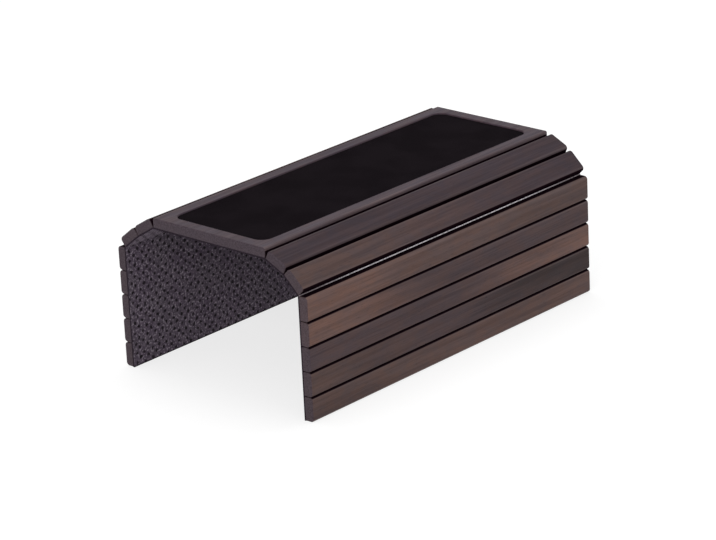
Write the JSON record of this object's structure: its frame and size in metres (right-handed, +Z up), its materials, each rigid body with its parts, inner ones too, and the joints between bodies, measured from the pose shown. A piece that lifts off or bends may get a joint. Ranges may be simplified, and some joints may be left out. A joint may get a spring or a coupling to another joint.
{
  "type": "sofa arm tray",
  "caption": "Flexible wooden tray for a sofa arm: a board with a dark recessed mat, hinged slats down both sides and a non-slip backing.",
  "frame": {"origin": "centre of the bounding box on the floor, where the lowest slats stand", "axes": "+Z up; +Y along the slats; +X across the sofa arm, towards the right side in the picture"},
  "size_m": [0.213, 0.358, 0.1398],
  "materials": {
    "board_wood": "dark espresso stain, satin",
    "slat_wood": "dark espresso stain, satin",
    "inlay": "matt black non-slip mat",
    "backing": "dark grey non-slip cloth with small dimples"
  },
  "bodies": {
    "tray": {"tray_board": "board_wood", "inlay_mat": "inlay", "board_backing": "backing"},
    "right_panel_1": {"right_slat_1": "slat_wood", "right_backing_1": "backing"},
    "right_panel_2": {"right_slat_2": "slat_wood", "right_backing_2": "backing"},
    "right_panel_3": {"right_slat_3": "slat_wood", "right_backing_3": "backing"},
    "right_panel_4": {"right_slat_4": "slat_wood", "right_backing_4": "backing"},
    "right_panel_5": {"right_slat_5": "slat_wood", "right_backing_5": "backing"},
    "right_panel_6": {"right_slat_6": "slat_wood", "right_backing_6": "backing"},
    "right_panel_7": {"right_slat_7": "slat_wood", "right_backing_7": "backing"},
    "left_panel_1": {"left_slat_1": "slat_wood", "left_backing_1": "backing"},
    "left_panel_2": {"left_slat_2": "slat_wood", "left_backing_2": "backing"},
    "left_panel_3": {"left_slat_3": "slat_wood", "left_backing_3": "backing"},
    "left_panel_4": {"left_slat_4": "slat_wood", "left_backing_4": "backing"},
    "left_panel_5": {"left_slat_5": "slat_wood", "left_backing_5": "backing"},
    "left_panel_6": {"left_slat_6": "slat_wood", "left_backing_6": "backing"},
    "left_panel_7": {"left_slat_7": "slat_wood", "left_backing_7": "backing"}
  },
  "joints": [
    {"name": "right_fold_1", "type": "hinge", "parent": "tray", "child": "right_panel_1", "pos_m": [0.06317, 0, 0.13105], "axis": [0, 1, 0], "range_deg": [-26, 29]},
    {"name": "right_fold_2", "type": "hinge", "parent": "right_panel_1", "child": "right_panel_2", "pos_m": [0.0824, 0, 0.12167], "axis": [0, 1, 0], "range_deg": [-18, 2]},
    {"name": "right_fold_3", "type": "hinge", "parent": "right_panel_2", "child": "right_panel_3", "pos_m": [0.0978, 0, 0.1068], "axis": [0, 1, 0], "range_deg": [-46, 14]},
    {"name": "right_fold_4", "type": "hinge", "parent": "right_panel_3", "child": "right_panel_4", "pos_m": [0.0978, 0, 0.0854], "axis": [0, 1, 0], "range_deg": [0, 35]},
    {"name": "right_fold_5", "type": "hinge", "parent": "right_panel_4", "child": "right_panel_5", "pos_m": [0.0978, 0, 0.064], "axis": [0, 1, 0], "range_deg": [0, 35]},
    {"name": "right_fold_6", "type": "hinge", "parent": "right_panel_5", "child": "right_panel_6", "pos_m": [0.0978, 0, 0.0426], "axis": [0, 1, 0], "range_deg": [0, 35]},
    {"name": "right_fold_7", "type": "hinge", "parent": "right_panel_6", "child": "right_panel_7", "pos_m": [0.0978, 0, 0.0212], "axis": [0, 1, 0], "range_deg": [0, 35]},
    {"name": "left_fold_1", "type": "hinge", "parent": "tray", "child": "left_panel_1", "pos_m": [-0.06263, 0, 0.13105], "axis": [0, -1, 0], "range_deg": [-31, 24]},
    {"name": "left_fold_2", "type": "hinge", "parent": "left_panel_1", "child": "left_panel_2", "pos_m": [-0.08097, 0, 0.12003], "axis": [0, -1, 0], "range_deg": [-7.17, 12.83]},
    {"name": "left_fold_3", "type": "hinge", "parent": "left_panel_2", "child": "left_panel_3", "pos_m": [-0.0978, 0, 0.1068], "axis": [0, -1, 0], "range_deg": [-51.83, 8.17]},
    {"name": "left_fold_4", "type": "hinge", "parent": "left_panel_3", "child": "left_panel_4", "pos_m": [-0.0978, 0, 0.0854], "axis": [0, -1, 0], "range_deg": [0, 35]},
    {"name": "left_fold_5", "type": "hinge", "parent": "left_panel_4", "child": "left_panel_5", "pos_m": [-0.0978, 0, 0.064], "axis": [0, -1, 0], "range_deg": [0, 35]},
    {"name": "left_fold_6", "type": "hinge", "parent": "left_panel_5", "child": "left_panel_6", "pos_m": [-0.0978, 0, 0.0426], "axis": [0, -1, 0], "range_deg": [0, 35]},
    {"name": "left_fold_7", "type": "hinge", "parent": "left_panel_6", "child": "left_panel_7", "pos_m": [-0.0978, 0, 0.0212], "axis": [0, -1, 0], "range_deg": [0, 35]}
  ]
}
